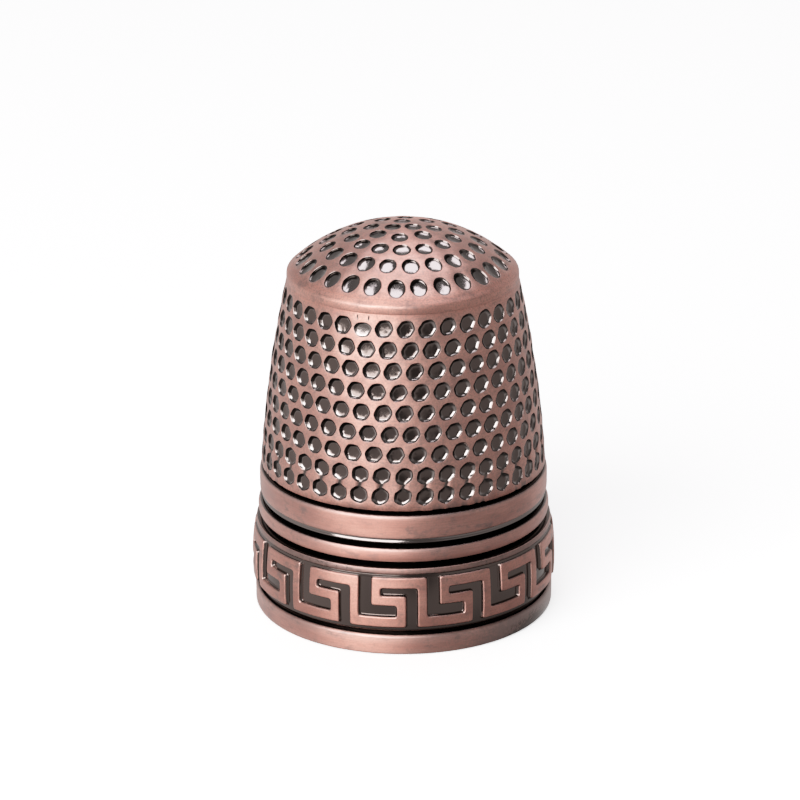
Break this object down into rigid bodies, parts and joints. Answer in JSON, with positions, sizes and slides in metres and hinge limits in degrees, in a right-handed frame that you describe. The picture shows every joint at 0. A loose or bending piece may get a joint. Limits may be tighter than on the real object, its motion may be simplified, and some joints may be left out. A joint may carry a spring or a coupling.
{
  "type": "sewing thimble",
  "caption": "Copper sewing thimble with dimpled tapered wall and domed crown, plain and beaded rings, and a raised Greek key band above the rim.",
  "frame": {"origin": "centre of the circle that the rim stands on, on the axis", "axes": "+Z along the axis from the open rim to the crown; -Y is the front, where the pictured side of the key pattern is; +X completes the right-handed frame"},
  "size_m": [0.018, 0.018, 0.0235],
  "materials": {
    "dimpled_copper": "satin antique copper plate, polished on the lands and blackened in the dimples",
    "satin_copper": "satin antique copper plate, finely brushed around the axis",
    "key_copper": "satin copper on the raised key, blackened ground between the bars"
  },
  "bodies": {
    "root": {"crown_cap": "dimpled_copper", "side_wall": "dimpled_copper", "collar_band": "satin_copper", "bead_ring": "satin_copper", "key_band": "key_copper", "base_rim": "satin_copper"}
  },
  "joints": []
}
